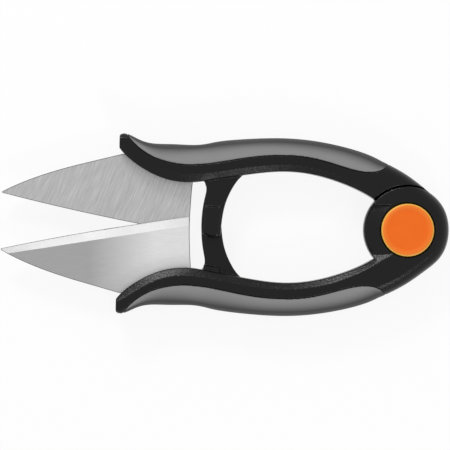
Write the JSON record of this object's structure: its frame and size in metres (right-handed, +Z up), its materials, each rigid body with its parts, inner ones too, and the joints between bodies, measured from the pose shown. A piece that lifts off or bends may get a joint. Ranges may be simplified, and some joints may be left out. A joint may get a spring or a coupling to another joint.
{
  "type": "floral snips",
  "caption": "Palm-squeeze floral snips: spring-opened arms with soft grips on one capped pivot, pointed blades that pass each other, and tongues that lap behind them.",
  "frame": {"origin": "On the pivot axis, at the plane that the snips rest on when they lie flat.", "axes": "+Z up along the pivot axis; the blade tips point to -X; the left arm, with the upper blade, is on the -Y side. The row is at rest with the arms sprung open."},
  "size_m": [0.1655, 0.0666, 0.0159],
  "materials": {
    "handle_plastic": "fine moulded grain",
    "grip_rubber": "soft satin overmould",
    "blade_steel": "ground, with cross-grain marks",
    "cap_orange": "semi-gloss",
    "cap_black": "matt",
    "pivot_steel": "zinc plated",
    "spring_steel": "drawn wire",
    "slip_plastic": "natural slippery plastic"
  },
  "bodies": {
    "left_arm": {"left_handle": "handle_plastic", "left_grip": "grip_rubber", "left_blade": "blade_steel", "top_cap": "cap_orange", "pivot_bolt": "pivot_steel", "pivot_nut": "pivot_steel", "pivot_bush": "pivot_steel", "head_washer": "pivot_steel", "nut_washer": "pivot_steel", "thrust_washer": "slip_plastic", "torsion_spring": "spring_steel"},
    "right_arm": {"right_handle": "handle_plastic", "right_grip": "grip_rubber", "right_blade": "blade_steel", "bottom_cap": "cap_black"}
  },
  "joints": [
    {"name": "squeeze", "type": "hinge", "parent": "left_arm", "child": "right_arm", "pos_m": [0, 0, 0.0075], "axis": [0, 0, 1], "range_deg": [0, 8.5], "stiffness_Nm_per_rad": 0.13, "springref_deg": -89.95, "deforming": ["torsion_spring"]}
  ]
}
